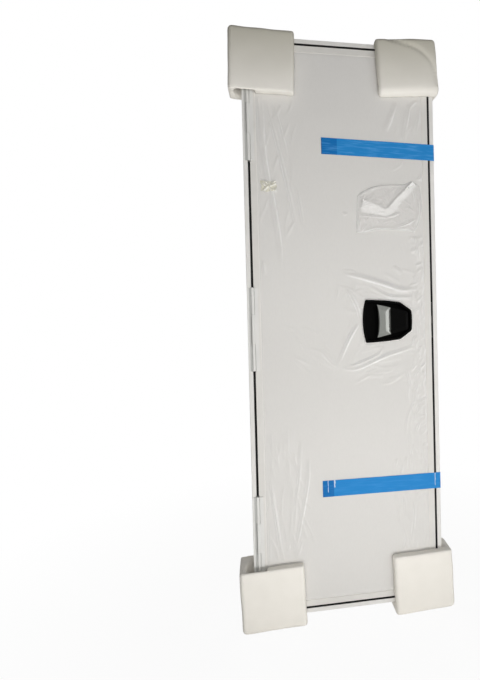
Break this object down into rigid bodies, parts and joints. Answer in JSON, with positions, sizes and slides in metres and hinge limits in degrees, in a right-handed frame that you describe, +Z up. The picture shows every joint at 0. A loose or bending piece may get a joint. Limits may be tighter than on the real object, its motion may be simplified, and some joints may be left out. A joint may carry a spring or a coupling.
{
  "type": "caravan entry door",
  "caption": "Narrow white caravan entry door in its frame, with barrel hinges, rubber gasket, black flush pull lock, foam corner guards, blue tape, film and a bag of papers.",
  "frame": {"origin": "middle of the width of the sill flange's rear face, where the frame lies on the caravan's outer wall", "axes": "+X to the lock side, +Y into the caravan, +Z up"},
  "size_m": [0.6641, 0.0865, 1.7817],
  "materials": {
    "frame_paint": "satin white paint on extruded aluminium",
    "edge_paint": "satin white paint on extruded aluminium",
    "seal_rubber": "black extruded rubber",
    "hinge_paint": "gloss white paint on extruded aluminium",
    "pin_steel": "drawn stainless steel",
    "latch_steel": "zinc plated steel",
    "skin_paint": "coil coated aluminium sheet",
    "inner_skin_ply": "faced thin plywood",
    "core_foam": "rigid foam",
    "lock_plastic": "moulded black polyamide",
    "grip_silver": "silver lacquer",
    "inner_lock_plastic": "moulded black plastic",
    "guard_foam": "soft white polyethylene foam",
    "tape_blue": "blue adhesive tape",
    "bag_film": "clear bag with folded paper",
    "leaf_film": "clear wrinkled film"
  },
  "bodies": {
    "frame": {"frame_head": "frame_paint", "frame_hinge_side": "frame_paint", "frame_lock_side": "frame_paint", "frame_sill": "frame_paint", "hinge_bottom_frame_wing": "hinge_paint", "hinge_bottom_pin": "pin_steel", "hinge_middle_frame_wing": "hinge_paint", "hinge_middle_pin": "pin_steel", "hinge_top_frame_wing": "hinge_paint", "hinge_top_pin": "pin_steel", "seal_head": "seal_rubber", "seal_hinge_side": "seal_rubber", "seal_lock_side": "seal_rubber", "seal_sill": "seal_rubber", "strike_plate": "latch_steel"},
    "leaf": {"edge_head": "edge_paint", "edge_hinge_side": "edge_paint", "edge_lock_side": "edge_paint", "edge_sill": "edge_paint", "guard_bottom_hinge_side": "guard_foam", "guard_bottom_lock_side": "guard_foam", "guard_top_hinge_side": "guard_foam", "guard_top_lock_side": "guard_foam", "hinge_bottom_leaf_wing": "hinge_paint", "hinge_middle_leaf_wing": "hinge_paint", "hinge_top_leaf_wing": "hinge_paint", "inner_handle": "inner_lock_plastic", "inner_lock_plate": "inner_lock_plastic", "latch_bolt": "latch_steel", "latch_plate": "latch_steel", "leaf_core": "core_foam", "leaf_inner_skin": "inner_skin_ply", "leaf_outer_skin": "skin_paint", "lever_pin": "pin_steel", "lock_bezel": "lock_plastic", "paper_bag": "bag_film", "protective_film": "leaf_film", "tape_lower": "tape_blue", "tape_upper": "tape_blue"},
    "pull_lever": {"lever_hood": "lock_plastic", "lever_grip": "grip_silver"}
  },
  "joints": [
    {"name": "leaf_hinge", "type": "hinge", "parent": "frame", "child": "leaf", "pos_m": [-0.2775, -0.002, 0.8616], "axis": [0, 0, -1], "range_deg": [0, 95]},
    {"name": "lever_pull", "type": "hinge", "parent": "leaf", "child": "pull_lever", "pos_m": [0.189, -0.002, 0.8781], "axis": [0, 0, 1], "range_deg": [0, 35], "stiffness_Nm_per_rad": 0.4}
  ]
}
